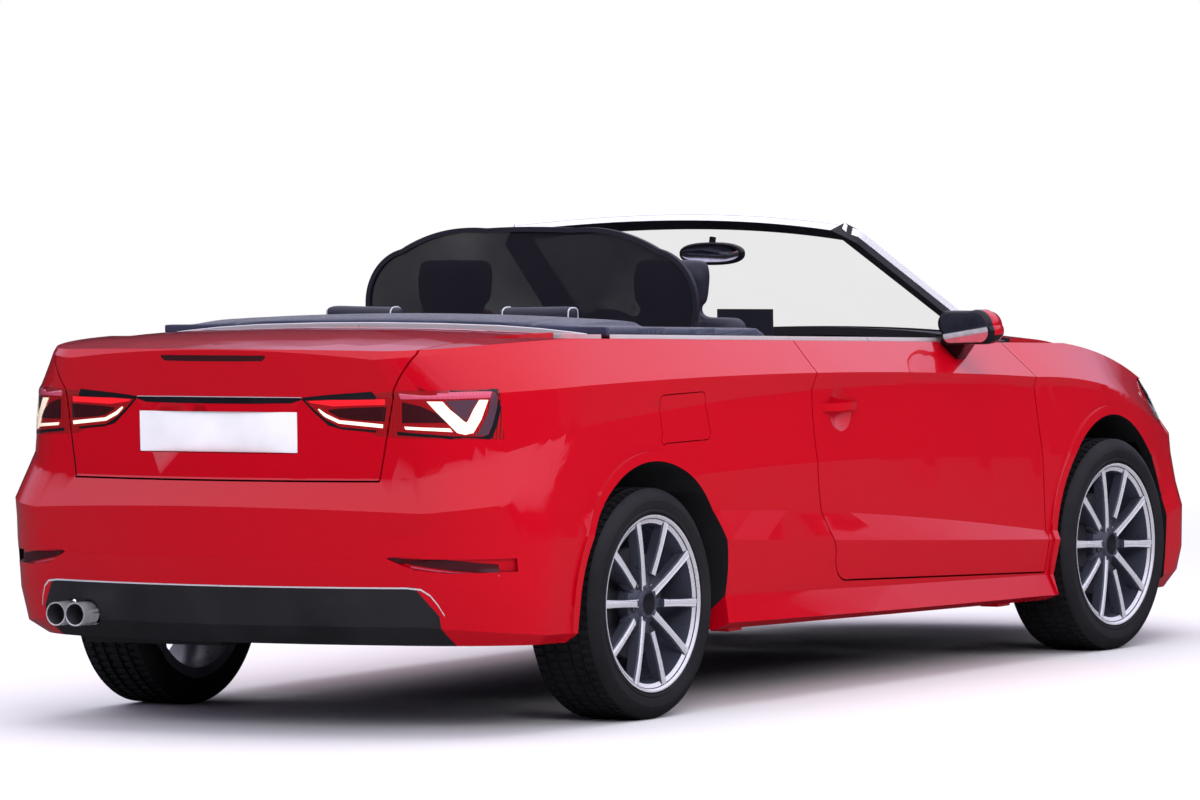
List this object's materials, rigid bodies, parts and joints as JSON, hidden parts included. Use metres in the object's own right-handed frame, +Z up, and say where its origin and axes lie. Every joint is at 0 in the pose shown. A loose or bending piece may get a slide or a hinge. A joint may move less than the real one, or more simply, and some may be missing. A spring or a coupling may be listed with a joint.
{
  "type": "convertible car",
  "caption": "Compact convertible car with its soft roof folded behind the rear seats, opening doors, bonnet, boot lid and fuel flap, and steered front wheels.",
  "frame": {"origin": "on the ground below the middle of the car's bounding box", "axes": "+X forward, +Y to the car's left, +Z up"},
  "size_m": [4.3488, 1.9606, 1.35],
  "materials": {
    "body_paint": "glossy clear coat",
    "black_plastic": "grained",
    "dark_sheet": "underbody coat",
    "satin_metal": "satin",
    "bright_steel": "polished",
    "alloy": "machined",
    "cast_steel": "cast",
    "tyre_rubber": "moulded",
    "screen_glass": "clear",
    "lamp_red": "moulded lens",
    "lamp_clear": "moulded lens",
    "roof_fabric": "woven",
    "seat_leather": "grained",
    "interior_plastic": "grained",
    "mesh_fabric": "open mesh"
  },
  "bodies": {
    "body": {"left_quarter": "body_paint", "right_quarter": "body_paint", "right_sill": "body_paint", "left_sill": "body_paint", "rear_bumper": "body_paint", "rear_valance": "black_plastic", "right_tail_lamp": "lamp_red", "left_tail_lamp": "lamp_red", "right_fender": "body_paint", "left_fender": "body_paint", "front_bumper": "body_paint", "grille": "black_plastic", "right_headlamp": "lamp_clear", "left_headlamp": "lamp_clear", "cowl": "black_plastic", "windscreen_frame": "satin_metal", "windscreen": "screen_glass", "interior_mirror": "black_plastic", "folded_roof": "roof_fabric", "belt_trim": "satin_metal", "wind_deflector": "mesh_fabric", "floor_pan": "dark_sheet", "engine_block": "cast_steel", "radiator": "dark_sheet", "front_axle": "cast_steel", "rear_axle": "cast_steel", "dashboard": "interior_plastic", "centre_console": "interior_plastic", "right_front_seat": "seat_leather", "left_front_seat": "seat_leather", "rear_seat": "seat_leather", "exhaust_tips": "bright_steel"},
    "right_door": {"right_door": "body_paint", "right_door_trim": "satin_metal", "right_door_mirror": "black_plastic"},
    "left_door": {"left_door": "body_paint", "left_door_trim": "satin_metal", "left_door_mirror": "black_plastic"},
    "boot_lid": {"boot_lid": "body_paint", "lid_lamps": "lamp_red"},
    "bonnet": {"bonnet": "body_paint"},
    "fuel_flap": {"fuel_flap": "body_paint"},
    "right_knuckle": {"right_knuckle": "cast_steel"},
    "left_knuckle": {"left_knuckle": "cast_steel"},
    "front_right_wheel": {"front_right_tyre": "tyre_rubber", "front_right_rim": "alloy"},
    "front_left_wheel": {"front_left_tyre": "tyre_rubber", "front_left_rim": "alloy"},
    "rear_right_wheel": {"rear_right_tyre": "tyre_rubber", "rear_right_rim": "alloy"},
    "rear_left_wheel": {"rear_left_tyre": "tyre_rubber", "rear_left_rim": "alloy"},
    "steering_wheel": {"steering_wheel": "interior_plastic"}
  },
  "joints": [
    {"name": "right_door_hinge", "type": "hinge", "parent": "body", "child": "right_door", "pos_m": [0.945, -0.865, 0.65], "axis": [0, 0, 1], "range_deg": [0, 65]},
    {"name": "left_door_hinge", "type": "hinge", "parent": "body", "child": "left_door", "pos_m": [0.945, 0.865, 0.65], "axis": [0, 0, -1], "range_deg": [0, 65]},
    {"name": "boot_lid_hinge", "type": "hinge", "parent": "body", "child": "boot_lid", "pos_m": [-1.363, 0, 1.064], "axis": [0, 1, 0], "range_deg": [0, 85]},
    {"name": "bonnet_hinge", "type": "hinge", "parent": "body", "child": "bonnet", "pos_m": [0.985, 0, 0.945], "axis": [0, -1, 0], "range_deg": [0, 50]},
    {"name": "fuel_flap_hinge", "type": "hinge", "parent": "body", "child": "fuel_flap", "pos_m": [-0.987, -0.872, 0.82], "axis": [0, 0, 1], "range_deg": [0, 75]},
    {"name": "left_steering", "type": "hinge", "parent": "body", "child": "left_knuckle", "pos_m": [1.2985, 0.715, 0.3185], "axis": [0, 0, 1], "range_deg": [-33, 33]},
    {"name": "right_steering", "type": "hinge", "parent": "body", "child": "right_knuckle", "pos_m": [1.2985, -0.715, 0.3185], "axis": [0, 0, 1], "range_deg": [-33, 33]},
    {"name": "steering_wheel_turn", "type": "hinge", "parent": "body", "child": "steering_wheel", "pos_m": [0.378, 0.37, 0.884], "axis": [-0.9135, 0, 0.4067], "range_deg": [-465, 465]},
    {"name": "front_left_spin", "type": "hinge", "parent": "left_knuckle", "child": "front_left_wheel", "pos_m": [1.2985, 0.7775, 0.3185], "axis": [0, 1, 0], "continuous": true},
    {"name": "front_right_spin", "type": "hinge", "parent": "right_knuckle", "child": "front_right_wheel", "pos_m": [1.2985, -0.7775, 0.3185], "axis": [0, 1, 0], "continuous": true},
    {"name": "rear_left_spin", "type": "hinge", "parent": "body", "child": "rear_left_wheel", "pos_m": [-1.2965, 0.763, 0.3185], "axis": [0, 1, 0], "continuous": true},
    {"name": "rear_right_spin", "type": "hinge", "parent": "body", "child": "rear_right_wheel", "pos_m": [-1.2965, -0.763, 0.3185], "axis": [0, 1, 0], "continuous": true}
  ],
  "couplings": [
    {"joint": "right_steering", "follows": "left_steering", "ratio": 1},
    {"joint": "steering_wheel_turn", "follows": "left_steering", "ratio": 14}
  ]
}
